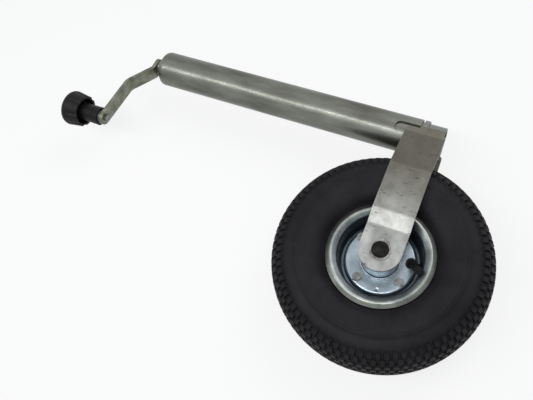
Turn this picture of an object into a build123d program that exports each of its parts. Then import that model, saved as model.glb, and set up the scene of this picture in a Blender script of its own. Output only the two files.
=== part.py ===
from build123d import *
from math import atan2, cos, degrees, radians, sin, sqrt
import os

# Trailer jockey wheel: a 48 mm clamp tube, a screw and crank inside it, and an inner tube
# that carries a two-legged fork and a 260 x 85 pneumatic wheel.
# Frame: X runs along the tube, with the crank at -X, and the origin is on the tube's axis,
# half-way along the tube. Z is the wheel's axle. The wheel hangs at -Y. Millimetres.

# ---- fits -----------------------------------------------------------------------------
RUNNING = 0.05          # radial clearance of a shaft that turns in its hole
FREE = 0.5              # gap between pieces that pass without touching
FACE_GAP = 0.3          # gap between end faces that turn against each other

# ---- outer tube -----------------------------------------------------------------------
TUBE_OD = 48.0
TUBE_WALL = 2.5
TUBE_LENGTH = 380.0
SHOULDER_R = 8.0        # spun-in top end
TOP_HOLE_R = 11.0       # hole in the top end, for the neck bush
SLOT_LENGTH = 31.0      # locking slots in the lower end
SLOT_LOW_Y = -11.5
SLOT_HIGH_Y = 4.5

# ---- inner tube and its stroke ----------------------------------------------------------
INNER_GAP = 0.5         # radial clearance of the inner tube in the outer one
INNER_WALL = 2.5
INNER_LENGTH = 386.0
INNER_SHOWS = 31.0      # how far it stands out of the outer tube when wound in

# ---- screw ------------------------------------------------------------------------------
SPINDLE_D = 16.0
SPINDLE_BELOW = 100.0   # the screw's lower end, from the tube's middle
NECK_D = 18.0
NECK_SHOWS = 9.0        # bare neck between the tube's top and the crank
NECK_GROOVE_D = 16.6
FLANGE_D = 34.0
FLANGE_T = 5.0
STUB_D = 13.0           # squared-down end that the crank is riveted on
PEEN_T = 2.5
BUSH_FLANGE_R = 13.0
BUSH_FLANGE_T = 1.0
CLIP_T = 1.2
NECK_CLIP_R = 12.0
RACE_GAP = 0.3          # between the races and the tube's rounded corner
RACE_T = 2.0
BALL_D = 4.0
BALL_COUNT = 14
NUT_LENGTH = 25.0
NUT_DEPTH = 8.0         # from the inner tube's top end to the nut
SEAT_RING_T = 6.0
SEAT_RING_BORE_R = 11.0
SNAP_RING_T = 1.6
SNAP_RING_REACH = 3.0   # how far the snap ring stands in from the inner tube's bore
SNAP_GROOVE = 0.8       # depth of the snap ring's groove

# ---- crank ------------------------------------------------------------------------------
STRIP_WIDTH = 20.0
STRIP_T = 5.0
CRANK_TURN = 7.0        # degrees that the crank leans from -Y towards +Z
CRANK_THROW = 110.0
KNEE_OUT = 46.0         # distance of the crank's knee from the tube's axis
KNEE_BACK = 24.5        # how far the knee stands back from the tab
TIP_BACK = 28.0         # how far the strip's tip stands back from the tab
TAB_BEND_OUT = 12.0
TAB_BEND_R = 6.0
KNEE_R = 16.0

# ---- grip -------------------------------------------------------------------------------
GRIP_PIN_D = 8.0
GRIP_PIN_HEAD_R = 4.6
GRIP_PIN_HEAD_T = 1.6
GRIP_WASHER_R = 10.0
GRIP_WASHER_T = 1.5
GRIP_LENGTH = 55.0
GRIP_SHANK_R = 12.0
GRIP_FOOT_R = 12.8
GRIP_HEAD_R = 24.5
GRIP_HEAD_T = 27.5
GRIP_CROWN_R = 8.5      # rounding from the flat end to the widest part
GRIP_BACK_R = 21.8      # the head's back rim, before its flutes
GRIP_HOLLOW_R = 18.5    # hollow behind the head, round the shank
GRIP_HOLLOW_DEPTH = 12.0
GRIP_RECESS_R = 7.5
GRIP_RECESS_DEPTH = 5.0
FLUTE_COUNT = 8         # flutes that fade out towards the widest part
FLUTE_R = 6.0
FLUTE_ROOT_R = 20.2     # depth of the flutes at the back rim

# ---- fork -------------------------------------------------------------------------------
LEG_WIDTH = 50.0
LEG_T = 5.0
LEG_TOP_Y = -2.5
LEG_TOP_GAP = 1.0       # between the legs and the outer tube
LEG_FLARE_Y = -10.0     # where the legs start to spread
LEG_STRAIGHT_Y = -69.0  # where they run straight again
LEG_IN_ABOVE = 48.0     # start and end of the inward bend, above the axle
LEG_END_ABOVE = 28.0
LEG_BEND_R = 12.0
LEG_CORNER = 4.0
TYRE_TO_LEG = 3.5
KEY_WIDTH = 8.0
KEY_PAD_Y = -9.5        # low side of the pad that carries the leg
KEY_REACH = 2.5         # how far the keys reach past the collar, towards the slots
COLLAR_GAP = 3.0        # between the outer tube's end and the collar
COLLAR_T = 6.0
WHEEL_X_PAST_TUBE = 9.0
TYRE_TO_TUBE = 20.5     # gap between the tyre's tread and the outer tube
AXLE_D = 20.0
AXLE_CHAMFER = 1.5
AXLE_PAST_LEG = 4.0
GROOVE_D = 18.6
CLIP_R = 12.2
EAR_R = 2.2
EAR_OUT = 12.0
EAR_ANGLE = 78.0
EAR_SPREAD = 14.0       # degrees from the clip's gap to each ear
CLIP_GAP = 2.4
WASHER_R = 17.0
WASHER_T = 1.4

# ---- wheel ------------------------------------------------------------------------------
TYRE_R = 130.0
TYRE_WIDTH = 86.0
TYRE_WALL = 6.0
TREAD_T = 10.0
SIDE_PAST_MIDDLE = 1.6      # the tyre's widest circle, from half-way between lip and shoulder
SHOULDER_BELOW_TREAD = 13.0
SHOULDER_DROP = 5.0         # the shoulder's step in from the full width
CAVITY_BELOW_SEAT = 5.0     # the cavity runs past the beads, to open the tyre
BEAD_T = 17.0               # how far each bead stands in from the cavity's side
BEAD_TAPER = 3.0
BEAD_H = 12.0
BEAD_GAP = 0.3          # between the tyre and the rim
AIR_TUBE_OVER_SEAT = 6.9    # from the bead seat out to the air tube
AIR_TUBE_SIDE_GAP = 6.0     # between the air tube and the tyre's sides
AIR_TUBE_WALL = 3.0
LIP_R = 63.5
LIP_Z = 31.5
LIP_CREST_R = 57.5      # where the lip is highest
LIP_DROP = 2.8          # from the crest down to the lip's edge
SEAT_TOP_DROP = 4.0     # from the crest down to the top of the bead seat
SHEET_T = 2.0
SEAT_R = 50.8           # bead seat of a 4 inch rim
SEAT_IN_Z = 10.0
WELL_R = 48.0
WEB_Z = 9.0             # the raised web's outer face
WEB_R = 43.0
BOSS_R = 22.0
HUB_WIDTH = 75.0
ROLLER_COUNT = 9
ROLLER_LENGTH = 18.0
HUB_BORE_R = 17.0
SEAL_T = 2.0
VALVE_ANGLE = 12.3      # degrees of the valve round the wheel
VALVE_R = 36.0
BOLT_PCD = 70.0
BOLT_COUNT = 4
BOLT_D = 6.0
BOLT_HOLE_D = 6.6
HEAD_AF = 10.0
HEAD_T = 4.0
NUT_T = 5.0
BOLT_WASHER_R = 6.0
BOLT_WASHER_T = 1.2
DIMPLE_R = 3.0
DIMPLE_DEPTH = 0.9

# ---- valve ------------------------------------------------------------------------------
STEM_R = 4.0
GROMMET_R = 6.5
GROMMET_T = 2.5
VALVE_LEAN = (0.378, -0.452, 0.808)
STEM_LENGTH = 26.9      # from the grommet to the tip
STEM_BEND_R = 5.0
CORE_R = 1.4
CORE_DEPTH = 8.0
CAP_R = 4.9
CAP_LENGTH = 11.0
CAP_DEPTH = 9.5

# ---- worked out -------------------------------------------------------------------------
TUBE_R = TUBE_OD / 2
TUBE_BORE_R = TUBE_R - TUBE_WALL
X_LOW = TUBE_LENGTH / 2
X_TOP = -TUBE_LENGTH / 2
INNER_R = TUBE_BORE_R - INNER_GAP
INNER_BORE_R = INNER_R - INNER_WALL
SNAP_RING_IN_R = INNER_BORE_R - SNAP_RING_REACH
INNER_LOW_X = X_LOW + INNER_SHOWS
INNER_TOP_X = INNER_LOW_X - INNER_LENGTH
TAB_X = X_TOP - NECK_SHOWS - STRIP_T / 2          # middle of the crank tab's thickness
NUT_X = INNER_TOP_X + NUT_DEPTH
WHEEL_X = X_LOW + WHEEL_X_PAST_TUBE
WHEEL_Y = -(TUBE_R + TYRE_TO_TUBE + TYRE_R)
LEG_TOP_Z = TUBE_R + LEG_TOP_GAP                  # inner faces of the legs
LEG_WIDE_Z = TYRE_WIDTH / 2 + TYRE_TO_LEG
HUB_Z = HUB_WIDTH / 2
LEG_HUB_Z = HUB_Z + WASHER_T + 2 * FACE_GAP
LEG_FACE_Z = LEG_HUB_Z + LEG_T
CLIP_Z = LEG_FACE_Z + FACE_GAP
AXLE_Z = LEG_FACE_Z + AXLE_PAST_LEG
BOLT_ANGLES = [VALVE_ANGLE + 45 + 360 / BOLT_COUNT * k for k in range(BOLT_COUNT)]
DIMPLE_ANGLE = VALVE_ANGLE - 90
CROWN_IN_R = TYRE_R - TREAD_T
AIR_TUBE_IN_R = SEAT_R + AIR_TUBE_OVER_SEAT
AIR_TUBE_REACH = (CROWN_IN_R - BEAD_GAP - AIR_TUBE_IN_R) / 2
AIR_TUBE_HALF_W = TYRE_WIDTH / 2 - TYRE_WALL - AIR_TUBE_SIDE_GAP
STEM_ROOT_R = AIR_TUBE_IN_R - 0.2
GRIP_X = TAB_X - TIP_BACK - STRIP_T / 2           # far face of the strip's tip


def ring_x(outer_r, inner_r, x, length):
    """A ring about the tube's axis, from x on towards +X."""
    ring = Cylinder(outer_r, length) - Cylinder(inner_r, length + 1)
    return Pos(x + length / 2, 0, 0) * Rot(0, 90, 0) * ring


def rod_x(radius, x, length):
    return Pos(x + length / 2, 0, 0) * Rot(0, 90, 0) * Cylinder(radius, length)


def ring_z(outer_r, inner_r, z, length):
    """A ring about the axle's axis, from z on towards +Z."""
    ring = Cylinder(outer_r, length) - Cylinder(inner_r, length + 1)
    return Pos(WHEEL_X, WHEEL_Y, z + length / 2) * ring


def at_wheel(radius, angle, z=0.0):
    """A place on the wheel, by its radius and its angle from +X."""
    return Pos(WHEEL_X + radius * cos(radians(angle)), WHEEL_Y + radius * sin(radians(angle)), z)


def strip_face(points, radii, thickness):
    """The section of a bent strip: its middle line through points, with a radius at each bend."""
    sides = []
    for sign in (1, -1):
        side, side_radii = [], []
        for i, point in enumerate(points):
            here = Vector(*point)
            before = (here - Vector(*points[i - 1])).normalized() if i else None
            after = (Vector(*points[i + 1]) - here).normalized() if i + 1 < len(points) else None
            first, second = before or after, after or before
            normal_a = Vector(-first.Y, first.X)
            normal_b = Vector(-second.Y, second.X)
            mitre = (normal_a + normal_b).normalized()
            side.append(here + mitre * (sign * thickness / 2 / mitre.dot(normal_a)))
            if before and after:
                turn = first.X * second.Y - first.Y * second.X
                inside = 1 if turn * sign > 0 else -1
                side_radii.append(radii[i - 1] - inside * thickness / 2)
        sides.append((side, side_radii))
    (left, left_radii), (right, right_radii) = sides
    edges = []
    for side, side_radii in sides:
        edges += FilletPolyline(*side, radius=side_radii).edges() if side_radii else [Line(*side)]
    edges += [Line(left[0], right[0]), Line(left[-1], right[-1])]
    return make_face(edges)


def turned(face):
    """A face drawn as (radius, height) turned once about the height axis, laid along Z."""
    upright = Plane(origin=(0, 0, 0), x_dir=(1, 0, 0), z_dir=(0, -1, 0))
    return revolve(upright * face, Axis.Z)


# ---- outer tube group --------------------------------------------------------------------
def outer_tube():
    """Tube with a spun-in top end and two locking slots in its lower end."""
    inner_shoulder = SHOULDER_R - TUBE_WALL
    outline = [
        Line((X_LOW, TUBE_BORE_R), (X_LOW, TUBE_R)),
        Line((X_LOW, TUBE_R), (X_TOP + SHOULDER_R, TUBE_R)),
        TangentArc((X_TOP + SHOULDER_R, TUBE_R), (X_TOP, TUBE_R - SHOULDER_R), tangent=(-1, 0)),
        Line((X_TOP, TUBE_R - SHOULDER_R), (X_TOP, TOP_HOLE_R)),
        Line((X_TOP, TOP_HOLE_R), (X_TOP + TUBE_WALL, TOP_HOLE_R)),
        Line((X_TOP + TUBE_WALL, TOP_HOLE_R), (X_TOP + TUBE_WALL, TUBE_BORE_R - inner_shoulder)),
        TangentArc(
            (X_TOP + TUBE_WALL, TUBE_BORE_R - inner_shoulder),
            (X_TOP + SHOULDER_R, TUBE_BORE_R),
            tangent=(0, 1),
        ),
        Line((X_TOP + SHOULDER_R, TUBE_BORE_R), (X_LOW, TUBE_BORE_R)),
    ]
    tube = revolve(make_face(outline), Axis.X)
    slot_width = SLOT_HIGH_Y - SLOT_LOW_Y
    slot_y = (SLOT_HIGH_Y + SLOT_LOW_Y) / 2
    straight = SLOT_LENGTH - slot_width / 2
    end = Pos(X_LOW - straight, slot_y, 0) * Cylinder(slot_width / 2, TUBE_OD + 2)
    run = Pos(X_LOW - straight / 2 + 0.5, slot_y, 0) * Box(straight + 1, slot_width, TUBE_OD + 2)
    return tube - end - run


def neck_bush():
    """Flanged bush in the top end, which the spindle's neck turns in."""
    bore = NECK_D / 2 + RUNNING
    flange = ring_x(BUSH_FLANGE_R, bore, X_TOP - BUSH_FLANGE_T, BUSH_FLANGE_T)
    return flange + ring_x(TOP_HOLE_R, bore, X_TOP, TUBE_WALL)


RACE_R = TUBE_BORE_R - (SHOULDER_R - TUBE_WALL) - RACE_GAP
RACE_TOP_X = X_TOP + TUBE_WALL + FACE_GAP
BALL_X = RACE_TOP_X + RACE_T + BALL_D / 2
RACE_LOW_X = RACE_TOP_X + RACE_T + BALL_D
FLANGE_X = RACE_LOW_X + RACE_T + FACE_GAP
RACE_BORE_R = NECK_D / 2 + FREE
BALL_PITCH_R = (RACE_R + RACE_BORE_R) / 2


def thrust_balls():
    spread = 360 / BALL_COUNT
    places = [Rot(spread * k, 0, 0) * Pos(BALL_X, BALL_PITCH_R, 0) for k in range(BALL_COUNT)]
    return Compound(children=[place * Sphere(BALL_D / 2) for place in places])


# ---- spindle group -----------------------------------------------------------------------
def spindle():
    """Screw, thrust flange, neck with a clip groove, and the stub that carries the crank."""
    tab_face = TAB_X + STRIP_T / 2
    body = rod_x(SPINDLE_D / 2, FLANGE_X, SPINDLE_BELOW - FLANGE_X)
    body += rod_x(FLANGE_D / 2, FLANGE_X, FLANGE_T)
    body += rod_x(NECK_D / 2, tab_face, FLANGE_X - tab_face)
    body -= ring_x(NECK_D / 2 + 1, NECK_GROOVE_D / 2, NECK_CLIP_X, CLIP_T)
    stub_x = TAB_X - STRIP_T / 2 - PEEN_T
    body += rod_x(STUB_D / 2, stub_x, tab_face - stub_x)
    low_end = body.faces().sort_by(Axis.X)[-1]
    return chamfer(low_end.edges(), 1.5)


NECK_CLIP_X = X_TOP - BUSH_FLANGE_T - FACE_GAP - CLIP_T


def crank_direction():
    return Vector(0, -cos(radians(CRANK_TURN)), sin(radians(CRANK_TURN)))


def crank_plane():
    """Drawing plane of the crank: x along the tube's axis, y away from it."""
    away = crank_direction()
    return Plane(origin=(0, 0, 0), x_dir=(1, 0, 0), z_dir=Vector(1, 0, 0).cross(away))


def crank_arm():
    """Bent strip: a tab across the spindle's end, a sloping arm, and an arm across the tube."""
    half = STRIP_WIDTH / 2
    points = [
        (TAB_X, -half),
        (TAB_X, TAB_BEND_OUT),
        (TAB_X - KNEE_BACK, KNEE_OUT),
        (TAB_X - TIP_BACK, CRANK_THROW + half),
    ]
    section = strip_face(points, [TAB_BEND_R, KNEE_R], STRIP_T)
    arm = extrude(crank_plane() * section, amount=half, both=True)
    # round both ends, seen along the tube's axis
    away = crank_direction()
    middle = away * (CRANK_THROW / 2)
    along = Plane(origin=middle, x_dir=away, z_dir=(1, 0, 0))
    outline = along * SlotCenterToCenter(CRANK_THROW, STRIP_WIDTH)
    arm &= extrude(outline, amount=TUBE_LENGTH, both=True)
    arm -= rod_x(STUB_D / 2, TAB_X - STRIP_T, 2 * STRIP_T)
    return arm - at_grip(GRIP_PIN_D / 2, GRIP_X - STRIP_T, 4 * STRIP_T)


def at_grip(radius, x, length):
    place = crank_direction() * CRANK_THROW
    return Pos(0, place.Y, place.Z) * rod_x(radius, x, length)


WASHER_FACE_X = GRIP_X - FACE_GAP
GRIP_FOOT_X = WASHER_FACE_X - GRIP_WASHER_T - FACE_GAP
GRIP_END_X = GRIP_FOOT_X - GRIP_LENGTH


def grip_pin():
    """Headed pin that fixes the grip to the strip, peened in a recess in the grip's end."""
    near_x = GRIP_X + STRIP_T + 2.0
    peen_x = GRIP_END_X + GRIP_RECESS_DEPTH - FACE_GAP - PEEN_T
    pin = at_grip(GRIP_PIN_D / 2, peen_x, near_x - peen_x)
    pin += at_grip(GRIP_PIN_HEAD_R, near_x - 0.5, GRIP_PIN_HEAD_T)
    return pin + at_grip(GRIP_RECESS_R - 1.0, peen_x, PEEN_T)


def grip_washer():
    return at_grip(GRIP_WASHER_R, WASHER_FACE_X - GRIP_WASHER_T, GRIP_WASHER_T) - at_grip(
        GRIP_PIN_D / 2, WASHER_FACE_X - 2 * GRIP_WASHER_T, 4 * GRIP_WASHER_T
    )


def grip():
    """Mushroom grip: a shank in a hollow, fluted head, bored for its pin."""
    wide_x = GRIP_END_X + GRIP_CROWN_R
    back_x = GRIP_END_X + GRIP_HEAD_T
    floor_x = back_x - GRIP_HOLLOW_DEPTH
    crown_start = (GRIP_END_X, GRIP_HEAD_R - GRIP_CROWN_R)
    profile = [
        Line((GRIP_END_X, 0), crown_start),
        TangentArc(crown_start, (wide_x, GRIP_HEAD_R), tangent=(0, 1)),
        Line((wide_x, GRIP_HEAD_R), (back_x, GRIP_BACK_R)),
        Line((back_x, GRIP_BACK_R), (back_x, GRIP_HOLLOW_R)),
        Line((back_x, GRIP_HOLLOW_R), (floor_x, GRIP_HOLLOW_R)),
        Line((floor_x, GRIP_HOLLOW_R), (floor_x, GRIP_SHANK_R)),
        Line((floor_x, GRIP_SHANK_R), (GRIP_FOOT_X, GRIP_FOOT_R)),
        Line((GRIP_FOOT_X, GRIP_FOOT_R), (GRIP_FOOT_X, 0)),
        Line((GRIP_FOOT_X, 0), (GRIP_END_X, 0)),
    ]
    body = revolve(make_face(profile), Axis.X)
    run = back_x - wide_x
    fall = GRIP_HEAD_R - FLUTE_ROOT_R
    middle = Pos((wide_x + back_x) / 2, (GRIP_HEAD_R + FLUTE_ROOT_R) / 2 + FLUTE_R, 0)
    cutter = middle * Rot(0, 0, -degrees(atan2(fall, run))) * Rot(0, 90, 0)
    for k in range(FLUTE_COUNT):
        body -= Rot(360 / FLUTE_COUNT * k, 0, 0) * cutter * Cylinder(FLUTE_R, 1.3 * run)
    body -= rod_x(GRIP_PIN_D / 2 + RUNNING, GRIP_END_X - 1, GRIP_LENGTH + 2)
    body -= rod_x(GRIP_RECESS_R, GRIP_END_X - 1, GRIP_RECESS_DEPTH + 1)
    place = crank_direction() * CRANK_THROW
    return Pos(0, place.Y, place.Z) * body


# ---- screw nut and inner tube group ------------------------------------------------------
def spindle_nut():
    """Nut that climbs the screw. The inner tube turns round it when the wheel swivels."""
    return ring_x(INNER_BORE_R - RUNNING, SPINDLE_D / 2 + RUNNING, NUT_X, NUT_LENGTH)


SNAP_X = NUT_X - FACE_GAP - SNAP_RING_T
SEAT_X = NUT_X + NUT_LENGTH + FACE_GAP


def inner_tube():
    tube = ring_x(INNER_R, INNER_BORE_R, INNER_TOP_X, INNER_LENGTH)
    return tube - ring_x(INNER_BORE_R + SNAP_GROOVE, INNER_BORE_R - 1, SNAP_X, SNAP_RING_T)


def nut_snap_ring():
    """Split ring in the inner tube's groove, above the nut."""
    ring = ring_x(INNER_BORE_R + SNAP_GROOVE, SNAP_RING_IN_R, SNAP_X, SNAP_RING_T)
    return ring - Pos(SNAP_X, INNER_R, 0) * Box(4 * SNAP_RING_T, 2 * INNER_R, 5)


COLLAR_X = X_LOW + COLLAR_GAP


def key_blocks():
    """Box and length of one key: it fills the space between the inner tube and a leg."""
    start = COLLAR_X - KEY_REACH
    length = INNER_LOW_X - start
    tongue = Pos(start + length / 2, 0, LEG_TOP_Z / 2) * Box(length, KEY_WIDTH, LEG_TOP_Z)
    pad_length = INNER_LOW_X - COLLAR_X
    pad_width = KEY_WIDTH / 2 - KEY_PAD_Y
    pad_middle = Pos(COLLAR_X + pad_length / 2, KEY_PAD_Y + pad_width / 2, LEG_TOP_Z / 2)
    block = tongue + pad_middle * Box(pad_length, pad_width, LEG_TOP_Z)
    return [block, mirror(block, Plane.XY)]


def swivel_keys():
    """Two blocks welded under the legs. Their ends enter the slots when the jack is wound in."""
    core = rod_x(INNER_R, X_LOW - INNER_LENGTH, 2 * INNER_LENGTH)
    return Compound(children=[block - core for block in key_blocks()])


def swivel_collar():
    """Stop ring round the inner tube, notched for the keys."""
    ring = ring_x(TUBE_R, INNER_R, COLLAR_X, COLLAR_T)
    for block in key_blocks():
        ring -= block
    return ring


def fork_leg(side):
    """One leg of bent bar: it leaves the inner tube, spreads past the tyre, and returns to the hub."""
    half = LEG_T / 2
    in_y = WHEEL_Y + LEG_IN_ABOVE
    end_y = WHEEL_Y + LEG_END_ABOVE
    points = [
        (LEG_TOP_Y, LEG_TOP_Z + half),
        (LEG_FLARE_Y, LEG_TOP_Z + half),
        (LEG_STRAIGHT_Y, LEG_WIDE_Z + half),
        (in_y, LEG_WIDE_Z + half),
        (end_y, LEG_HUB_Z + half),
        (WHEEL_Y - LEG_WIDTH / 2, LEG_HUB_Z + half),
    ]
    section = strip_face(points, [LEG_BEND_R] * 4, LEG_T)
    plane = Plane(origin=(WHEEL_X, 0, 0), x_dir=(0, 1, 0), z_dir=(1, 0, 0))
    leg = extrude(plane * section, amount=LEG_WIDTH / 2, both=True)
    height = LEG_TOP_Y - WHEEL_Y
    flat = Rectangle(LEG_WIDTH, height, align=(Align.CENTER, Align.MIN))
    flat = chamfer(flat.vertices().group_by(Axis.Y)[-1], LEG_CORNER)
    outline = Pos(WHEEL_X, WHEEL_Y) * (flat + Circle(LEG_WIDTH / 2))
    leg &= extrude(outline, amount=2 * LEG_WIDE_Z)
    leg -= Pos(WHEEL_X, WHEEL_Y, LEG_HUB_Z) * Cylinder(AXLE_D / 2, 4 * LEG_T)
    return leg if side > 0 else mirror(leg, Plane.XY)


def axle():
    bar = Pos(WHEEL_X, WHEEL_Y, 0) * Cylinder(AXLE_D / 2, 2 * AXLE_Z)
    ends = bar.edges().filter_by(GeomType.CIRCLE)
    bar = chamfer(ends, AXLE_CHAMFER)
    for low in (CLIP_Z, -CLIP_Z - CLIP_T):
        bar -= ring_z(AXLE_D, GROOVE_D / 2, low, CLIP_T)
    return bar


def axle_circlips():
    """Outside clips with two ears, in the axle's grooves."""
    clips = []
    for low in (CLIP_Z, -CLIP_Z - CLIP_T):
        ring = Circle(CLIP_R) - Circle(GROOVE_D / 2)
        for lean in (-1, 1):
            angle = radians(EAR_ANGLE + lean * EAR_SPREAD)
            ring += Pos(EAR_OUT * cos(angle), EAR_OUT * sin(angle)) * Circle(EAR_R)
        gap = Rot(0, 0, EAR_ANGLE) * Pos(CLIP_R, 0) * Rectangle(CLIP_R, CLIP_GAP)
        face = ring - gap
        face -= Circle(GROOVE_D / 2)
        clips.append(Pos(WHEEL_X, WHEEL_Y, low) * extrude(face, amount=CLIP_T))
    return Compound(children=clips)


def axle_washers():
    low = HUB_Z + FACE_GAP
    return Compound(
        children=[ring_z(WASHER_R, AXLE_D / 2, z, WASHER_T) for z in (low, -low - WASHER_T)]
    )


# ---- wheel group -------------------------------------------------------------------------
def rim_section():
    """Section of one pressed rim half, as (radius, height above the middle plane)."""
    half = SHEET_T / 2
    points = [
        (BOSS_R - half, HUB_Z - SHEET_T),
        (BOSS_R - half, WEB_Z - half),
        (WEB_R - half, WEB_Z - half),
        (WEB_R - half, half),
        (WELL_R - half, half),
        (SEAT_R - half, SEAT_IN_Z),
        (SEAT_R - half, LIP_Z - half - SEAT_TOP_DROP),
        (LIP_CREST_R, LIP_Z - half),
        (LIP_R - half / 2, LIP_Z - half - LIP_DROP),
    ]
    radii = [2.5, 3.0, 1.6, 1.6, 6.0, 3.2, 2.0]
    return strip_face(points, radii, SHEET_T)


def rim_half(side):
    half = Pos(WHEEL_X, WHEEL_Y, 0) * turned(rim_section())
    for angle in BOLT_ANGLES:
        half -= at_wheel(BOLT_PCD / 2, angle, WEB_Z) * Cylinder(BOLT_HOLE_D / 2, 6 * SHEET_T)
    half -= valve_path(STEM_R + FREE)
    half -= at_wheel(VALVE_R, VALVE_ANGLE, WEB_Z) * Cylinder(STEM_R + FREE, 6 * SHEET_T)
    ball_r = (DIMPLE_R**2 + DIMPLE_DEPTH**2) / 2 / DIMPLE_DEPTH
    half -= at_wheel(VALVE_R, DIMPLE_ANGLE, WEB_Z - DIMPLE_DEPTH + ball_r) * Sphere(ball_r)
    if side > 0:
        return half
    return mirror(half, Plane.XY)


def hexagon(across_flats, height):
    return extrude(RegularPolygon(across_flats / sqrt(3), 6), amount=height)


def rim_bolts():
    length = 2 * WEB_Z + BOLT_WASHER_T + NUT_T + 2.0
    bolt = hexagon(HEAD_AF, HEAD_T) + Pos(0, 0, -length / 2) * Cylinder(BOLT_D / 2, length)
    return Compound(children=[at_wheel(BOLT_PCD / 2, a, WEB_Z) * bolt for a in BOLT_ANGLES])


def rim_washers():
    washer = Cylinder(BOLT_WASHER_R, BOLT_WASHER_T) - Cylinder(BOLT_D / 2, 2 * BOLT_WASHER_T)
    z = -WEB_Z - BOLT_WASHER_T / 2
    return Compound(children=[at_wheel(BOLT_PCD / 2, a, z) * washer for a in BOLT_ANGLES])


def rim_nuts():
    nut = hexagon(HEAD_AF, NUT_T) - Cylinder(BOLT_D / 2, 4 * NUT_T)
    z = -WEB_Z - BOLT_WASHER_T - NUT_T
    return Compound(children=[at_wheel(BOLT_PCD / 2, a, z) * nut for a in BOLT_ANGLES])


def hub_tube():
    return ring_z(BOSS_R - SHEET_T, HUB_BORE_R, -HUB_Z, HUB_WIDTH)


ROLLER_PITCH_R = (AXLE_D / 2 + HUB_BORE_R) / 2
ROLLER_R = (HUB_BORE_R - AXLE_D / 2) / 2 - RUNNING
CAGE_LENGTH = ROLLER_LENGTH + 4.0
CAGE_OUT_Z = HUB_Z - SEAL_T - FREE


def hub_rollers():
    """Two rows of rollers between the axle and the hub tube."""
    rollers = []
    for side in (1, -1):
        z = side * (CAGE_OUT_Z - CAGE_LENGTH / 2)
        for k in range(ROLLER_COUNT):
            place = at_wheel(ROLLER_PITCH_R, 360 / ROLLER_COUNT * k, z)
            rollers.append(place * Cylinder(ROLLER_R, ROLLER_LENGTH))
    return Compound(children=rollers)


def roller_cages():
    """Plastic cages that keep the rollers apart."""
    cages = []
    for side in (1, -1):
        z = side * (CAGE_OUT_Z - CAGE_LENGTH / 2)
        cage = ring_z(HUB_BORE_R - FREE, AXLE_D / 2 + FREE, z - CAGE_LENGTH / 2, CAGE_LENGTH)
        for k in range(ROLLER_COUNT):
            pocket = Cylinder(ROLLER_R + 0.1, ROLLER_LENGTH + 0.4)
            cage -= at_wheel(ROLLER_PITCH_R, 360 / ROLLER_COUNT * k, z) * pocket
        cages.append(cage)
    return Compound(children=cages)


def hub_seals():
    """Rings pressed in the hub tube's ends."""
    bore = AXLE_D / 2 + FREE
    return Compound(
        children=[ring_z(HUB_BORE_R, bore, z, SEAL_T) for z in (HUB_Z - SEAL_T, -HUB_Z)]
    )


def tyre():
    """Tyre shell: smooth sides, round shoulders, open between its two beads."""
    side_top = TYRE_WIDTH / 2
    shoulder_r = TYRE_R - SHOULDER_BELOW_TREAD
    side_r = (LIP_R + BEAD_GAP + shoulder_r) / 2 + SIDE_PAST_MIDDLE
    bead_r = SEAT_R + BEAD_GAP
    foot_z = LIP_Z - SHEET_T - LIP_DROP - 2 * BEAD_GAP
    foot = (LIP_R + BEAD_GAP, foot_z)
    side = [
        Line((bead_r, 0), (bead_r, foot_z - SHEET_T)),
        Line((bead_r, foot_z - SHEET_T), foot),
        Spline(
            foot,
            (side_r, side_top),
            (shoulder_r, side_top - SHOULDER_DROP),
            (TYRE_R, 0.0),
            tangents=((0.55, 0.85), (0.0, -1.0)),
        ),
        Line((TYRE_R, 0.0), (bead_r, 0.0)),
    ]
    half = turned(make_face(side))
    inner_wide = side_top - TYRE_WALL
    low_r = SEAT_R - CAVITY_BELOW_SEAT
    bead_top = (SEAT_R + BEAD_H, inner_wide - BEAD_T + BEAD_TAPER)
    cavity = turned(
        make_face(
            [
                Line((low_r, 0), (low_r, inner_wide - BEAD_T)),
                Line((low_r, inner_wide - BEAD_T), bead_top),
                Spline(
                    bead_top,
                    (side_r, inner_wide),
                    (CROWN_IN_R - 2, inner_wide * 0.6),
                    (CROWN_IN_R, 0.0),
                    tangents=((0.5, 0.85), (0.0, -1.0)),
                ),
                Line((CROWN_IN_R, 0.0), (low_r, 0)),
            ]
        )
    )
    shell = half - cavity
    return Pos(WHEEL_X, WHEEL_Y, 0) * (shell + mirror(shell, Plane.XY))


def air_tube():
    """Rubber air tube inside the tyre, as a hollow ring."""
    centre = AIR_TUBE_IN_R + AIR_TUBE_REACH
    skin = Ellipse(AIR_TUBE_REACH, AIR_TUBE_HALF_W)
    hollow = Ellipse(AIR_TUBE_REACH - AIR_TUBE_WALL, AIR_TUBE_HALF_W - AIR_TUBE_WALL)
    ring = turned(Pos(centre, 0) * (skin - hollow))
    return Pos(WHEEL_X, WHEEL_Y, 0) * ring


def valve_path(radius):
    """The stem's run from the air tube, through the web, and out towards the reader's right."""
    angle = radians(VALVE_ANGLE)
    out = Vector(cos(angle), sin(angle), 0)
    centre = Vector(WHEEL_X, WHEEL_Y, 0)
    lean = Vector(*VALVE_LEAN).normalized()
    elbow = centre + out * VALVE_R
    mouth = elbow + Vector(0, 0, WEB_Z + GROMMET_T)
    tip = mouth + lean * STEM_LENGTH
    path = FilletPolyline(centre + out * STEM_ROOT_R, elbow, mouth, tip, radius=STEM_BEND_R)
    start = Plane(origin=path @ 0, z_dir=path % 0)
    return sweep(start * Circle(radius), path)


def valve_frame(distance):
    """A place on the stem's leaning run, measured from the grommet's face, facing the tip."""
    angle = radians(VALVE_ANGLE)
    lean = Vector(*VALVE_LEAN).normalized()
    mouth = Vector(WHEEL_X, WHEEL_Y, WEB_Z + GROMMET_T) + Vector(cos(angle), sin(angle), 0) * VALVE_R
    return Plane(origin=mouth + lean * distance, z_dir=lean)


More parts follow.
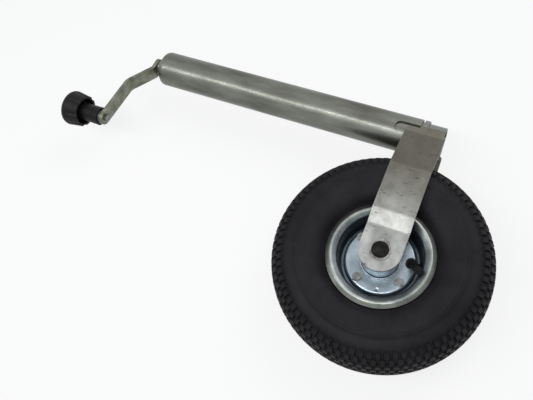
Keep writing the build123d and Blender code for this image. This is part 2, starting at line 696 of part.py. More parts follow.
def valve_stem():
    stem = valve_path(STEM_R)
    stem += at_wheel(VALVE_R, VALVE_ANGLE, WEB_Z + GROMMET_T / 2) * Cylinder(GROMMET_R, GROMMET_T)
    bore = valve_frame(STEM_LENGTH - CORE_DEPTH) * extrude(Circle(CORE_R), amount=CORE_DEPTH + 1)
    return stem - bore


def valve_core():
    start = STEM_LENGTH - CORE_DEPTH
    return valve_frame(start) * extrude(Circle(CORE_R), amount=CORE_DEPTH - 1.0)


def valve_cap():
    start = STEM_LENGTH - CAP_DEPTH + FACE_GAP
    cap = valve_frame(start) * extrude(Circle(CAP_R), amount=CAP_LENGTH)
    bore = valve_frame(start - 1) * extrude(Circle(STEM_R + RUNNING), amount=CAP_DEPTH + 1)
    return cap - bore


def build():
    """Every sub-part, by the name of its node."""
    race_bore = NECK_D / 2 + FREE
    return {
        "outer_tube": outer_tube(),
        "neck_bush": neck_bush(),
        "thrust_race_upper": ring_x(RACE_R, race_bore, RACE_TOP_X, RACE_T),
        "thrust_balls": thrust_balls(),
        "thrust_race_lower": ring_x(RACE_R, race_bore, RACE_LOW_X, RACE_T),
        "spindle": spindle(),
        "spindle_circlip": ring_x(NECK_CLIP_R, NECK_GROOVE_D / 2, NECK_CLIP_X, CLIP_T),
        "crank_arm": crank_arm(),
        "grip_pin": grip_pin(),
        "grip_washer": grip_washer(),
        "grip": grip(),
        "spindle_nut": spindle_nut(),
        "inner_tube": inner_tube(),
        "nut_snap_ring": nut_snap_ring(),
        "nut_seat_ring": ring_x(INNER_BORE_R, SEAT_RING_BORE_R, SEAT_X, SEAT_RING_T),
        "swivel_collar": swivel_collar(),
        "swivel_keys": swivel_keys(),
        "fork_leg_front": fork_leg(1),
        "fork_leg_rear": fork_leg(-1),
        "axle": axle(),
        "axle_circlips": axle_circlips(),
        "axle_washers": axle_washers(),
        "rim_half_front": rim_half(1),
        "rim_half_rear": rim_half(-1),
        "rim_bolts": rim_bolts(),
        "rim_washers": rim_washers(),
        "rim_nuts": rim_nuts(),
        "hub_tube": hub_tube(),
        "hub_rollers": hub_rollers(),
        "roller_cages": roller_cages(),
        "hub_seals": hub_seals(),
        "tyre": tyre(),
        "air_tube": air_tube(),
        "valve_stem": valve_stem(),
        "valve_core": valve_core(),
        "valve_cap": valve_cap(),
    }


os.makedirs("parts", exist_ok=True)
for name, shape in build().items():
    export_step(shape, f"parts/{name}.step")
    print(name, round(shape.volume / 1000, 2), "cm3")
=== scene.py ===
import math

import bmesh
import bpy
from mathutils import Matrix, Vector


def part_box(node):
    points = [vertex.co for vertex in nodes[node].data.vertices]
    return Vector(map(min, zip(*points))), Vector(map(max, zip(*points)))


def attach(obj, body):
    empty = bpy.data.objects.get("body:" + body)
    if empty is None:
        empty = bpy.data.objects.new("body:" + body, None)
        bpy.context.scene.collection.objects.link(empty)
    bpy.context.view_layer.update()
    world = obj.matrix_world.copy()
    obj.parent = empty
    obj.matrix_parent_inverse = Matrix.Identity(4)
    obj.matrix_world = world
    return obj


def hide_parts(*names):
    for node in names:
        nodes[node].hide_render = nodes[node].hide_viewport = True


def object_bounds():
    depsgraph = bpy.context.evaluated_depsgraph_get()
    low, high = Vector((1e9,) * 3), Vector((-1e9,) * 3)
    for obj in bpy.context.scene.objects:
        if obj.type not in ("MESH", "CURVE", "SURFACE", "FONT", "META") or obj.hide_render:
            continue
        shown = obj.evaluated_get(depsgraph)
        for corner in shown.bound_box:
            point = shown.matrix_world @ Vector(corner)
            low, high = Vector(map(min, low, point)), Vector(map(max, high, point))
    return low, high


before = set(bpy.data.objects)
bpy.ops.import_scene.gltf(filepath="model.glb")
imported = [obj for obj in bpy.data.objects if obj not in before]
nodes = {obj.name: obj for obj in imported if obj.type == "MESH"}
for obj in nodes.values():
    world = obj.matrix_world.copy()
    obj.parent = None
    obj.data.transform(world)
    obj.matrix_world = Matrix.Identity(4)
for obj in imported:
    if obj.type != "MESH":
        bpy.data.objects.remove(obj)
cad_low, cad_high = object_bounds()

# %% [markdown]
# A trailer's jockey wheel: a zinc plated tube with a crank at one end, and a fork with a rubber
# tyred wheel at the other. The CAD pieces already have the right shape and stay where they are.
# This script gives them their finishes, replaces the plain tyre with a treaded one, and adds the
# weld beads on the fork. Sizes are written in millimetres and Blender works in metres, so MM
# turns one into the other.

MM = 0.001
print("CAD nodes:", len(nodes))

# %% [markdown]
# The camera looks down on the object from in front, a little below the wheel, and is rolled so
# that the tube slopes down to the right. A camera that only tracks a target would lose the roll,
# so its place and its three directions are written out, and a matrix puts them together.

# %% Camera
CAMERA_PLACE = Vector((275.30, -394.96, 716.74)) * MM
RIGHT = Vector((0.90519, 0.39180, -0.16471))
UP = Vector((-0.30131, 0.86489, 0.40147))
BACK = Vector((0.29975, -0.31377, 0.90094))
camera_data = bpy.data.cameras.new("camera")
camera_data.sensor_width = 36.0
camera_data.lens = 41.83
camera_data.clip_start = 0.01
camera = bpy.data.objects.new("camera", camera_data)
directions = Matrix((RIGHT, UP, BACK)).transposed().to_4x4()
camera.matrix_world = Matrix.Translation(CAMERA_PLACE) @ directions
bpy.context.scene.collection.objects.link(camera)
bpy.context.scene.camera = camera
bpy.context.scene.view_settings.view_transform = "Standard"
print("camera lens", round(camera_data.lens, 2), "mm")

# %% [markdown]
# A material is a tree of nodes. Adding each node and link by hand takes several lines, so short
# helpers do it, and each finish below then reads as a recipe. An input can take a link or a plain
# value, and feed() accepts either.


# %% Node helpers
def new_material(name):
    """Returns a new material with its nodes and its links."""
    material = bpy.data.materials.new(name)
    material.use_nodes = True
    return material, material.node_tree.nodes, material.node_tree.links


def add(made, kind, **inputs):
    """Adds a node and sets the inputs that are named, with _ for a space."""
    node = made.new(kind)
    for key, value in inputs.items():
        node.inputs[key.replace("_", " ")].default_value = value
    return node


def feed(links, value, socket):
    """Links another node's output to this input, or sets a plain value on it."""
    if isinstance(value, bpy.types.NodeSocket):
        links.new(value, socket)
    else:
        socket.default_value = value


def maths(made, links, operation, first, second):
    """One sum on two values, each of them an output or a plain number."""
    node = made.new("ShaderNodeMath")
    node.operation = operation
    feed(links, first, node.inputs[0])
    feed(links, second, node.inputs[1])
    return node.outputs[0]


print("node helpers ready")

# %% [markdown]
# The floor and the sky are white where they are seen, and dimmer where they only light the object.
# Raising the lamps until the floor turned white would bleach the metal, so the white comes from a
# glow that only seen rays pick up. Glossy rays count as seen, so metal mirrors the same white.


# %% Rays that see the background
def seen_ray(made, links):
    """1 for camera, glossy and transmission rays, otherwise 0."""
    path = made.new("ShaderNodeLightPath")
    seen = path.outputs["Is Camera Ray"]
    for name in ("Is Glossy Ray", "Is Transmission Ray"):
        seen = maths(made, links, "MAXIMUM", seen, path.outputs[name])
    return seen


def mix_to(made, links, share, plain, glow, out):
    """Shows the plain shader on an output node, with a share of the glowing one."""
    mix = made.new("ShaderNodeMixShader")
    for value, socket in zip((share, plain.outputs[0], glow.outputs[0]), mix.inputs):
        links.new(value, socket)
    links.new(mix.outputs[0], out.inputs[0])


print("background rays ready")

# %% [markdown]
# The floor is a wide flat sheet just under the wheel, which lies on its side. It keeps a fifth of
# its own paint for seen rays, and the object's soft shadow stays on that part.

# %% Floor
FLOOR_SPAN = 12
FLOOR_GAP = 0.2
GLOW_SHARE = 0.8
floor_z = cad_low.z - FLOOR_GAP * MM
bpy.ops.mesh.primitive_plane_add(size=FLOOR_SPAN, location=(0, 0, 0))
floor = bpy.context.object
floor.name = "floor"
for corner in floor.data.vertices:
    corner.co.z = floor_z
floor_paint, made, links = new_material("floor_paint")
made.clear()
out = made.new("ShaderNodeOutputMaterial")
matt = add(made, "ShaderNodeBsdfDiffuse", Color=(0.82, 0.82, 0.82, 1))
glow = add(made, "ShaderNodeEmission", Color=(1, 1, 1, 1), Strength=1.0)
glow_share = maths(made, links, "MULTIPLY", seen_ray(made, links), GLOW_SHARE)
mix_to(made, links, glow_share, matt, glow, out)
floor.data.materials.append(floor_paint)
print("floor at", round(floor_z / MM, 1), "mm")

# %% [markdown]
# A long strip lamp and a wide soft lamp light the object. The strip is parallel to the tube and
# stands where the tube's middle mirrors it, so a bright line runs along the tube, and the fork's
# inward bend catches it too. A round lamp would leave only a spot on the tube.


# %% Lamps
def soft_lamp(name, place, target, length, width, watts):
    """A flat lamp, in metres and watts, turned to face its target."""
    data = bpy.data.lights.new(name, "AREA")
    data.shape = "RECTANGLE"
    data.size, data.size_y = length, width
    data.energy = watts
    lamp = bpy.data.objects.new(name, data)
    lamp.location = place
    lamp.rotation_euler = (Vector(target) - Vector(place)).to_track_quat("-Z", "Y").to_euler()
    bpy.context.scene.collection.objects.link(lamp)
    print(name, "lamp", watts, "W")


soft_lamp("strip", (-0.20, -0.54, 1.05), (-0.20, -0.02, 0.02), length=1.4, width=0.13, watts=8)
soft_lamp("fill", (0.5, 0.8, 1.1), (0.1, -0.1, 0), length=0.8, width=0.8, watts=6)

# %% [markdown]
# The sky fills the shadows that the two lamps leave. It is dim and a little blue where it lights
# the object, as an open garage door is, and white where it is seen or mirrored.

# %% Sky
SKY_STRENGTH = 0.42
sky = bpy.data.worlds.new("sky")
bpy.context.scene.world = sky
sky.use_nodes = True
made, links = sky.node_tree.nodes, sky.node_tree.links
made.clear()
out = made.new("ShaderNodeOutputWorld")
dim = add(made, "ShaderNodeBackground", Color=(0.9, 0.95, 1.0, 1), Strength=SKY_STRENGTH)
white = add(made, "ShaderNodeBackground", Color=(1, 1, 1, 1), Strength=1.0)
mix_to(made, links, seen_ray(made, links), dim, white, out)
print("sky strength", SKY_STRENGTH)

# %% [markdown]
# No surface here is one flat colour. The patterns come from noise, which has no seams and needs no
# unwrapping. All of them read Object coordinates, so a pattern stays on its piece when it moves.


# %% Pattern helpers
def object_place(made, links, scale=(1, 1, 1), shift=(0, 0, 0)):
    """A point on the piece, scaled and then shifted."""
    place, mapping = made.new("ShaderNodeTexCoord"), made.new("ShaderNodeMapping")
    mapping.inputs["Scale"].default_value = scale
    mapping.inputs["Location"].default_value = shift
    links.new(place.outputs["Object"], mapping.inputs["Vector"])
    return mapping.outputs[0]


def noise(made, links, place, scale, detail, roughness=0.5):
    """Cloudy values from 0 to 1. A larger scale gives smaller patches."""
    texture = add(made, "ShaderNodeTexNoise", Scale=scale, Detail=detail, Roughness=roughness)
    links.new(place, texture.inputs["Vector"])
    return texture.outputs["Fac"]


def remap(made, links, value, **limits):
    """Stretches a value from one range to another, both 0 to 1 unless limits say otherwise."""
    node = add(made, "ShaderNodeMapRange", **limits)
    links.new(value, node.inputs["Value"])
    return node.outputs[0]


def colour_ramp(made, links, value, stops):
    """Colours along a value from 0 to 1. Each stop is a place and a colour."""
    ramp = made.new("ShaderNodeValToRGB")
    marks = ramp.color_ramp.elements
    for mark, (place, colour) in zip(marks, (stops[0], stops[-1])):
        mark.position, mark.color = place, (*colour, 1)
    for place, colour in stops[1:-1]:
        marks.new(place).color = (*colour, 1)
    links.new(value, ramp.inputs["Fac"])
    return ramp.outputs["Color"]


print("pattern helpers ready")

# %% [markdown]
# Plated and galvanised steel is mottled: patches of light and dark, fine scratches, and a
# roughness that varies with them. One recipe serves all the metals, so that they age alike. Its
# patches are stretched along the piece where the metal was drawn or rolled, as a tube is.

# %% Metal recipe
PATCH_EDGES = (0.34, 0.66)
SCRATCHES_PER_PATCH = 14
SCRATCH_DEPTH = 0.4


def metal(name, dark, light, patch, stretch=(1, 1, 1), rough=(0.3, 0.5), bump=0.08,
          metallic=0.9, gloss=0.5):
    """Patches between two colours, with fine scratches in the roughness and the relief."""
    material, made, links = new_material(name)
    shader = made["Principled BSDF"]
    shader.inputs["Metallic"].default_value = metallic
    shader.inputs["Specular IOR Level"].default_value = gloss
    place = object_place(made, links, stretch)
    patches = noise(made, links, place, patch, 6.0, 0.6)
    fine = noise(made, links, place, patch * SCRATCHES_PER_PATCH, 3.0)
    colour = colour_ramp(made, links, patches, list(zip(PATCH_EDGES, (dark, light))))
    links.new(colour, shader.inputs["Base Color"])
    level = remap(made, links, fine, To_Min=rough[0], To_Max=rough[1])
    links.new(level, shader.inputs["Roughness"])
    relief = add(made, "ShaderNodeBump", Strength=bump, Distance=SCRATCH_DEPTH * MM)
    links.new(fine, relief.inputs["Height"])
    links.new(relief.outputs[0], shader.inputs["Normal"])
    return material


print("metal recipe ready")

# %% [markdown]
# The plated pieces differ in age and thickness of zinc. The tube is dull and a little olive, the
# crank's strip is yellower, the fork's galvanised bar is paler, and the rim is bright and bluish.
# Each gets a dark and a light colour of its own, and larger patches where the piece is larger.

# %% Plated finishes
tube_plate = metal("tube_plate", (0.10, 0.104, 0.088), (0.205, 0.212, 0.19), 45,
                   stretch=(0.25, 1, 1), rough=(0.27, 0.4))
strip_zinc = metal("strip_zinc", (0.115, 0.122, 0.092), (0.25, 0.26, 0.21), 85,
                   rough=(0.34, 0.5), bump=0.12)
bar_zinc = metal("bar_zinc", (0.21, 0.215, 0.205), (0.40, 0.412, 0.402), 46,
                 stretch=(1, 0.6, 1), rough=(0.34, 0.5), bump=0.15)
rim_zinc = metal("rim_zinc", (0.36, 0.40, 0.43), (0.60, 0.64, 0.67), 80, rough=(0.24, 0.38))
bolt_zinc = metal("bolt_zinc", (0.12, 0.125, 0.12), (0.27, 0.28, 0.27), 160, rough=(0.3, 0.45))
print("plated finishes 5")

# %% [markdown]
# The axle and the rings inside are bare or blackened steel, and are nearly black with oil. The
# clips are spring steel, the rolling parts are ground and bright, and the nut and bush are bronze.

# %% Bare metal finishes
dark_steel = metal("dark_steel", (0.006, 0.006, 0.006), (0.022, 0.022, 0.021), 120,
                   rough=(0.35, 0.5))
clip_steel = metal("clip_steel", (0.14, 0.135, 0.125), (0.38, 0.37, 0.35), 150, rough=(0.2, 0.32))
bright_steel = metal("bright_steel", (0.36, 0.36, 0.36), (0.56, 0.56, 0.56), 150,
                     rough=(0.18, 0.3))
bush_bronze = metal("bush_bronze", (0.34, 0.2, 0.08), (0.5, 0.32, 0.14), 120, rough=(0.3, 0.45))
print("bare metal finishes 4")

# %% [markdown]
# Dirt, scuffs and worn rings lie over a finish. Each could be a material of its own, but then the
# metal under it would have to be built again. It is easier to blend one more colour over whatever
# already feeds the shader's colour.


# %% Blend over a finish
def blend_over(material, amount, colour, how="MIX"):
    """Blends a colour over a finish; the amount and the colour may be links or plain values."""
    made, links = material.node_tree.nodes, material.node_tree.links
    base = made["Principled BSDF"].inputs["Base Color"]
    blend = made.new("ShaderNodeMix")
    blend.data_type = "RGBA"
    blend.blend_type = how
    feed(links, amount, blend.inputs["Factor"])
    links.new(base.links[0].from_socket, blend.inputs["A"])
    feed(links, colour, blend.inputs["B"])
    links.new(blend.outputs["Result"], base)


print("blend ready")

# %% [markdown]
# A fork leg isn't the same all over. Its upper part, near the tube, is painted dark and brownish
# as shade, because its face there tilts away from the light, and it gets paler towards the axle.
# The painted shade is a blend along the leg, and large patches move its edge up and down, so that
# it is nowhere straight.

# %% Painted shade on the fork legs
# The colour of the painted shade on the upper fork legs.
LEG_SHADE = (0.074, 0.068, 0.050, 1)
LEG_SHADE_PATCH = 38.0
EDGE_WANDER = 28


def shade_along_y(material, darkest_y, unshaded_y, colour, most):
    """Paints shade from nothing at unshaded_y to the most at darkest_y, both in mm."""
    made, links = material.node_tree.nodes, material.node_tree.links
    place = object_place(made, links)
    split = made.new("ShaderNodeSeparateXYZ")
    links.new(place, split.inputs[0])
    cloud = noise(made, links, place, LEG_SHADE_PATCH, 5.0)
    wander = remap(made, links, cloud, To_Min=-EDGE_WANDER * MM, To_Max=EDGE_WANDER * MM)
    edge = maths(made, links, "ADD", split.outputs["Y"], wander)
    share = remap(made, links, edge, From_Min=unshaded_y * MM, From_Max=darkest_y * MM, To_Max=most)
    blend_over(material, share, colour)


# The upper legs are painted darker and browner, as shade.
shade_along_y(bar_zinc, -70, -162, LEG_SHADE, 0.88)
print("shaded", bar_zinc.name)

# %% [markdown]
# Handled steel has scuffs: short dark marks, a few to a hand's width. They could be modelled or
# painted one by one, but a stretched noise with only its highest peaks kept gives as many as are
# wanted, and they darken whatever colour is already there.

# %% Scuffs
GRIME = (0.03, 0.028, 0.022, 1)
SCUFF_EDGE = 0.06


def scuff(material, scale, stretch, keep, depth):
    """Darkens a finish by depth where a noise is above keep."""
    made, links = material.node_tree.nodes, material.node_tree.links
    marks = noise(made, links, object_place(made, links, stretch), scale, 4.0, 0.7)
    peaks = remap(made, links, marks, From_Min=keep, From_Max=keep + SCUFF_EDGE, To_Max=depth)
    blend_over(material, peaks, GRIME)
    print("scuffed", material.name)


scuff(bar_zinc, 110, (1, 2.2, 1), keep=0.61, depth=0.7)
scuff(strip_zinc, 90, (1, 1, 1), keep=0.63, depth=0.6)
scuff(tube_plate, 120, (0.3, 1, 1), keep=0.68, depth=0.4)

# %% [markdown]
# The pressed rim was plated whole, and its colour is painted in rings. The raised web stays pale
# and bluish and the recess round it is painted dark as shade. The lip is a dull olive, with a
# painted highlight on its crest and painted shade at its edge by the tyre. The tint is read from
# the distance to the axle, so it follows the pressing all the way round. Each ring below is a
# radius in millimetres and the tint that multiplies the zinc there.

# %% Rings of tint, painted shade and painted highlight on the rim
tyre_low, tyre_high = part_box("tyre")
CENTRE = (tyre_low + tyre_high) / 2
RING_REACH = 70.0
# The rings at 43.2 and 50.0 mm are painted shade in the recess, 57.3 mm is a painted highlight on
# the lip's crest, and 59.5 mm is painted shade by the tyre.
RIM_TINT_SHADE_RINGS = [
    (18.0, (0.44, 0.48, 0.52)), (23.0, (0.46, 0.51, 0.55)), (24.5, (0.66, 0.72, 0.76)),
    (41.5, (0.70, 0.77, 0.82)), (43.2, (0.24, 0.28, 0.31)), (50.0, (0.19, 0.222, 0.24)),
    (54.5, (0.30, 0.31, 0.29)), (57.3, (0.66, 0.66, 0.60)), (59.5, (0.30, 0.30, 0.26)),
]


def tint_and_shade_rings(material):
    """Multiplies a finish by the tints, painted shade and painted highlight in
    RIM_TINT_SHADE_RINGS, by distance from the axle.
    """
    made, links = material.node_tree.nodes, material.node_tree.links
    from_axle = object_place(made, links, (1, 1, 0), (-CENTRE.x, -CENTRE.y, 0))
    away = made.new("ShaderNodeVectorMath")
    away.operation = "LENGTH"
    links.new(from_axle, away.inputs[0])
    reach = remap(made, links, away.outputs["Value"], From_Max=RING_REACH * MM)
    stops = [(radius / RING_REACH, tint) for radius, tint in RIM_TINT_SHADE_RINGS]
    blend_over(material, 1.0, colour_ramp(made, links, reach, stops), "MULTIPLY")


# Paints the rim's tints, with its painted shade and painted highlight.
tint_and_shade_rings(rim_zinc)
print("rim rings", len(RIM_TINT_SHADE_RINGS))

# %% [markdown]
# Rubber and moulded plastic aren't metal: they are nearly black and matt, and take a faint dust.
# The metal recipe already has patches and a fine bump, so it serves here too, with the metal
# turned off and a weak gloss.

# %% Rubber and plastic
RUBBER_GLOSS = 0.16


def moulded(name, dark, light, patch, rough, bump):
    return metal(name, dark, light, patch, rough=rough, bump=bump, metallic=0.0,
                 gloss=RUBBER_GLOSS)


tyre_black = moulded("tyre_black", (0.0035, 0.0033, 0.0042), (0.0105, 0.0098, 0.0125), 35,
                     rough=(0.5, 0.68), bump=0.25)
soft_black = moulded("soft_black", (0.003, 0.003, 0.0035), (0.008, 0.008, 0.009), 90,
                     rough=(0.4, 0.55), bump=0.15)
grip_black = moulded("grip_black", (0.003, 0.003, 0.0035), (0.009, 0.009, 0.010), 110,
                     rough=(0.38, 0.52), bump=0.2)
print("black finishes 3")

# %% [markdown]
# Now each CAD piece gets its finish. One list names every piece beside its finish, and the check
# after it stops the script if a piece was forgotten or misspelt.

# %% Finishes on the CAD pieces
FINISH = {
    tube_plate: "outer_tube inner_tube swivel_collar spindle",
    strip_zinc: "crank_arm",
    bar_zinc: "fork_leg_front fork_leg_rear swivel_keys",
    rim_zinc: "rim_half_front rim_half_rear hub_tube",
    bolt_zinc: "rim_bolts rim_washers rim_nuts grip_pin grip_washer",
    dark_steel: "axle axle_washers nut_seat_ring nut_snap_ring roller_cages",
    clip_steel: "axle_circlips spindle_circlip",
    bright_steel: "thrust_balls hub_rollers thrust_race_upper thrust_race_lower",
    bush_bronze: "neck_bush spindle_nut valve_core",
    soft_black: "hub_seals air_tube valve_stem valve_cap",
    grip_black: "grip",
    tyre_black: "tyre",
}
finished = set()
for material, names in FINISH.items():
    for name in names.split():
        mesh = nodes[name].data
        mesh.materials.clear()
        mesh.materials.append(material)
        finished.add(name)
assert finished == set(nodes), set(nodes) ^ finished
print("finished", len(finished))

# %% [markdown]
# The tyre is one moulding: a smooth sidewall with a thin ridge, a round shoulder, a tread, and a
# bead that sits in the rim. The smooth part is the same all the way round, so it is a closed
# outline turned about the axle. Only one half of the outline is written, and the other mirrors it.

# %% Tyre outline
TREAD_R = (tyre_high.x - tyre_low.x) / 2 / MM
TREAD_DEEP = 3.4
CROWN_DROP = 0.6
FLOOR_OF_TREAD = TREAD_R - TREAD_DEEP
OUTER_SIDE = [
    (64.2, 26.4), (66.4, 31.0), (70, 35.6), (75, 39.0), (81, 41.3), (88, 42.7), (93.5, 43.0),
    (95.4, 43.0), (96.2, 44.2), (97.6, 44.2), (98.4, 42.8), (103, 41.8), (108, 40.0),
    (111.6, 38.2), (113.2, 36.2), (117.5, 33.8), (121.2, 29.6), (124.2, 23.0),
]
CROWN = [(FLOOR_OF_TREAD - CROWN_DROP, 12.0), (FLOOR_OF_TREAD, 0.0)]
INNER_SIDE = [
    (118, 0.0), (114, 20.0), (104, 32.0), (92, 36.8), (78, 33.5), (66, 25.0), (54, 20.5),
    (52, 20.0),
]
TYRE_BEAD = [(51.3, 22.0), (51.3, 24.6), (60, 26.0)]


def mirrored(points):
    return [(radius, -height) for radius, height in reversed(points)]


outer_half = OUTER_SIDE + CROWN
outline = outer_half + mirrored(outer_half[:-1])
outline += mirrored(TYRE_BEAD) + mirrored(INNER_SIDE)
outline += INNER_SIDE[1:] + TYRE_BEAD
print("outline points", len(outline), "tread radius", round(TREAD_R, 1))

# %% [markdown]
# Turning joins each point of the outline to its neighbour and to its place one step further round.
# The result is closed, so its faces can be told which way is out. Every new piece is made an object
# at the origin, with its place in its mesh, which is what one_piece() does.

# %% Turn the carcass
TURN_STEPS = 180


def turned_mesh(name, profile, steps):
    """A closed profile of (radius, height) in mm, turned about the wheel's axle."""
    points, faces, size = [], [], len(profile)
    for step in range(steps):
        angle = 2 * math.pi * step / steps
        cosine, sine = math.cos(angle), math.sin(angle)
        points += [CENTRE + Vector((r * cosine, r * sine, z)) * MM for r, z in profile]
        here, beyond = step * size, (step + 1) % steps * size
        for p in range(size):
            q = (p + 1) % size
            faces.append((here + p, beyond + p, beyond + q, here + q))
    mesh = bpy.data.meshes.new(name)
    mesh.from_pydata(points, [], faces)
    shell = bmesh.new()
    shell.from_mesh(mesh)
    bmesh.ops.recalc_face_normals(shell, faces=shell.faces)
    shell.to_mesh(mesh)
    print(name, "volume", round(shell.calc_volume() * 1e6, 1), "cm3")
    shell.free()
    return mesh


def one_piece(name, meshes, material, smooth):
    """Joins plain meshes into one object at the origin, with one material."""
    whole = bmesh.new()
    for mesh in meshes:
        whole.from_mesh(mesh)
        bpy.data.meshes.remove(mesh)
    joined = bpy.data.meshes.new(name)
    whole.to_mesh(joined)
    whole.free()
    joined.materials.append(material)
    for face in joined.polygons:
        face.use_smooth = smooth
    piece = bpy.data.objects.new(name, joined)
    bpy.context.scene.collection.objects.link(piece)
    print(name, "faces", len(joined.polygons))
    return piece


turned = turned_mesh("turned", outline, TURN_STEPS)
carcass = one_piece("tyre_carcass", [turned], tyre_black, smooth=True)

# %% [markdown]
# The real tread repeats by a rule, and so do the drops of a weld. Geometry Nodes suit both: the
# rule is built once as a tree with named inputs for its sizes, and each row or bead is one run of
# it. These helpers start a tree, move a shape in it, and end it with real faces and a material.


# %% Geometry Nodes helpers
def new_tree(name, sizes):
    """A tree with these named inputs. Returns it with its given values and its end."""
    tree = bpy.data.node_groups.new(name, "GeometryNodeTree")
    for label, kind in sizes:
        tree.interface.new_socket(label, in_out="INPUT", socket_type="NodeSocket" + kind)
    tree.interface.new_socket("Geometry", in_out="OUTPUT", socket_type="NodeSocketGeometry")
    given, end = tree.nodes.new("NodeGroupInput"), tree.nodes.new("NodeGroupOutput")
    return tree, given.outputs, end


def vector_of(made, links, **parts):
    """A vector from outputs for some of X, Y and Z. The others stay 0."""
    node = made.new("ShaderNodeCombineXYZ")
    for axis, value in parts.items():
        links.new(value, node.inputs[axis])
    return node.outputs[0]


def transform(made, links, shape, **changes):
    """Changes a shape's Translation, Rotation or Scale."""
    node = made.new("GeometryNodeTransform")
    links.new(shape, node.inputs["Geometry"])
    for name, value in changes.items():
        feed(links, value, node.inputs[name])
    return node.outputs[0]


def finish_tree(made, links, shape, material, end):
    """Ends a tree with real faces and a material, because copies in place of faces are lost."""
    whole, coat = made.new("GeometryNodeRealizeInstances"), made.new("GeometryNodeSetMaterial")
    coat.inputs["Material"].default_value = material
    links.new(shape, whole.inputs[0])
    links.new(whole.outputs[0], coat.inputs["Geometry"])
    links.new(coat.outputs[0], end.inputs[0])


def plain_mesh(name, tree, values):
    """Runs a tree with these inputs and returns its result as a plain mesh."""
    blank = bpy.data.meshes.new(name)
    holder = bpy.data.objects.new(name, blank)
    bpy.context.scene.collection.objects.link(holder)
    step = holder.modifiers.new("rule", "NODES")
    step.node_group = tree
    for item in tree.interface.items_tree:
        if item.in_out == "INPUT" and item.name in values:
            step[item.identifier] = values[item.name]
    evaluated = holder.evaluated_get(bpy.context.evaluated_depsgraph_get())
    mesh = bpy.data.meshes.new_from_object(evaluated)
    bpy.data.objects.remove(holder)
    bpy.data.meshes.remove(blank)
    return mesh


print("tree helpers ready")

# %% [markdown]
# One tread block is a low pad that narrows towards its top, with four sides. A cone with four
# corners and its tip cut off is that shape with the fewest faces. It is made one unit high with
# its top at the origin, and then scaled, so that a row's radius is the height of its blocks' tops.

# %% One tread block
BLOCK_TOP = 0.56
BLOCK_FOOT = 0.78


def block_shape(made, links, given):
    """A tapered block of the given size, with its top at the origin."""
    cone = add(made, "GeometryNodeMeshCone", Vertices=4, Radius_Top=BLOCK_TOP,
               Radius_Bottom=BLOCK_FOOT, Depth=1.0)
    square = transform(made, links, cone.outputs["Mesh"], Rotation=(0, 0, math.pi / 4),
                       Translation=(0, 0, -0.5))
    size = vector_of(made, links, X=given["Across"], Y=given["Along"], Z=given["Tall"])
    return transform(made, links, square, Scale=size)


def outward_turn(made, links, given):
    """Leans a block outwards, then turns it to face away from the axle at its own place."""
    index = made.new("GeometryNodeInputIndex").outputs[0]
    turn = maths(made, links, "MULTIPLY", index, 2 * math.pi)
    turn = maths(made, links, "DIVIDE", turn, given["Count"])
    rotation = made.new("FunctionNodeEulerToRotation")
    links.new(vector_of(made, links, Y=given["Lean"], Z=turn), rotation.inputs[0])
    return rotation.outputs[0]


print("block narrows to", round(BLOCK_TOP / BLOCK_FOOT, 2), "of its foot")

# %% [markdown]
# A tread row is a ring of these blocks. A circle gives one point for each block, and the block is
# placed on every point. The whole row is then lifted to its height on the wheel, turned by part of
# a block so that it stands between the blocks of the next row, and moved to the wheel's centre.


# %% Tread row
def tread_tree(material):
    tree, given, end = new_tree("tread_row", (
        ("Count", "Int"), ("Radius", "Float"), ("Height", "Float"), ("Lean", "Float"),
        ("Phase", "Float"), ("Across", "Float"), ("Along", "Float"), ("Tall", "Float"),
        ("Centre", "Vector")))
    made, links = tree.nodes, tree.links
    circle = made.new("GeometryNodeMeshCircle")
    links.new(given["Count"], circle.inputs["Vertices"])
    links.new(given["Radius"], circle.inputs["Radius"])
    place = made.new("GeometryNodeInstanceOnPoints")
    links.new(circle.outputs["Mesh"], place.inputs["Points"])
    links.new(block_shape(made, links, given), place.inputs["Instance"])
    links.new(outward_turn(made, links, given), place.inputs["Rotation"])
    row = transform(made, links, place.outputs[0],
                    Translation=vector_of(made, links, Z=given["Height"]),
                    Rotation=vector_of(made, links, Z=given["Phase"]))
    row = transform(made, links, row, Translation=given["Centre"])
    finish_tree(made, links, row, material, end)
    return tree


tread_row = tread_tree(tyre_black)
print("tread row inputs", len(tread_row.interface.items_tree) - 1)

# %% [markdown]
# The middle row stands straight up from the axle. The rows beside it come in pairs, one on each
# side, and each pair leans over further and sits lower, down round the shoulder. Eighty blocks to
# a row is about the spacing of a tyre of this size.

# %% Tread
BLOCKS = 80
# radius, height, lean from the axle in degrees, across, along, tall, shift in parts of a block
ROWS = [
    (127.1, 0.0, 90, 8.0, 7.6, 5.6, 0.0), (126.5, 10.6, 86, 8.0, 7.2, 5.6, 0.5),
    (125.0, 20.6, 76, 8.0, 7.2, 5.6, 0.0), (121.5, 29.2, 58, 8.0, 6.9, 5.4, 0.5),
    (116.3, 35.0, 40, 8.0, 6.4, 4.6, 0.0),
]
rows = []
for radius, height, lean, across, along, tall, shift in ROWS:
    for side in ((1,) if height == 0 else (1, -1)):
        rows.append(plain_mesh("row", tread_row, {
            "Count": BLOCKS, "Radius": radius * MM, "Height": side * height * MM,
            "Lean": math.radians(lean if side > 0 else 180 - lean),
            "Phase": 2 * math.pi / BLOCKS * shift, "Across": across * MM, "Along": along * MM,
            "Tall": tall * MM, "Centre": tuple(CENTRE),
        }))
print("tread rows", len(rows))
tread = one_piece("tyre_tread", rows, tyre_black, smooth=False)

# %% [markdown]
# The carcass and the tread together stand for the CAD's plain tyre. Both turn with the wheel.

# %% Put the tyre on the wheel
for piece in (carcass, tread):
    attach(piece, "wheel")
    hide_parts("tyre")
print("tyre replaced")

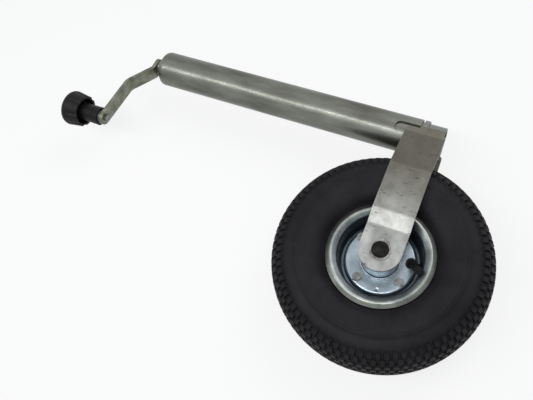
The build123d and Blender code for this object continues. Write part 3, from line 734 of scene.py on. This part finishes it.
# %% [markdown]
# Each leg is welded to its block along the leg's top edge. A bead is a row of overlapping drops,
# laid down one after another, each a little different. A swept line would look too even, so the
# tree places drops along a line, with their number and size as inputs and a fixed seed for the
# unevenness.

# %% Weld bead
LEAST_DROP = (0.75, 0.85, 0.85)
LARGEST_DROP = (1.0, 1.12, 1.12)


def bead_tree(material):
    tree, given, end = new_tree("weld_bead", (
        ("Start", "Vector"), ("End", "Vector"), ("Drops", "Int"), ("Size", "Float"),
        ("Seed", "Int")))
    made, links = tree.nodes, tree.links
    line = made.new("GeometryNodeMeshLine")
    line.mode = "END_POINTS"
    for name, socket in (("Drops", "Count"), ("Start", "Start Location"), ("End", "Offset")):
        links.new(given[name], line.inputs[socket])
    drop = add(made, "GeometryNodeMeshIcoSphere", Subdivisions=3)
    links.new(given["Size"], drop.inputs["Radius"])
    uneven = made.new("FunctionNodeRandomValue")
    uneven.data_type = "FLOAT_VECTOR"
    uneven.inputs[0].default_value = LEAST_DROP
    uneven.inputs[1].default_value = LARGEST_DROP
    links.new(given["Seed"], uneven.inputs["Seed"])
    place = made.new("GeometryNodeInstanceOnPoints")
    links.new(line.outputs["Mesh"], place.inputs["Points"])
    links.new(drop.outputs["Mesh"], place.inputs["Instance"])
    links.new(uneven.outputs["Value"], place.inputs["Scale"])
    finish_tree(made, links, place.outputs[0], material, end)
    return tree


weld_metal = metal("weld_metal", (0.035, 0.03, 0.022), (0.12, 0.11, 0.09), 220,
                   rough=(0.4, 0.6), bump=0.2)
weld_bead = bead_tree(weld_metal)
print("weld bead inputs", len(weld_bead.interface.items_tree) - 1)

# %% [markdown]
# The beads' ends are measured from the CAD pieces they join, so they follow if those change. A bead
# sits a little out of the corner, and stops short of the blocks' ends, as a welder's does.

# %% Lay the beads
DROP_R = 1.5
OUT_OF_CORNER = 0.35 * DROP_R * MM
END_GAP = 2 * DROP_R * MM
DROPS = 19
block_low, block_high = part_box("swivel_collar")[0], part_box("swivel_keys")[1]
leg_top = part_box("fork_leg_front")[1].y
beads = []
for seed, side in ((4, 1), (9, -1)):
    y, z = leg_top + OUT_OF_CORNER, side * (block_high.z + OUT_OF_CORNER)
    beads.append(plain_mesh("bead", weld_bead, {
        "Start": (block_low.x + END_GAP, y, z), "End": (block_high.x - END_GAP, y, z),
        "Drops": DROPS, "Size": DROP_R * MM, "Seed": seed,
    }))
welds = one_piece("fork_welds", beads, weld_metal, smooth=True)
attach(welds, "fork")
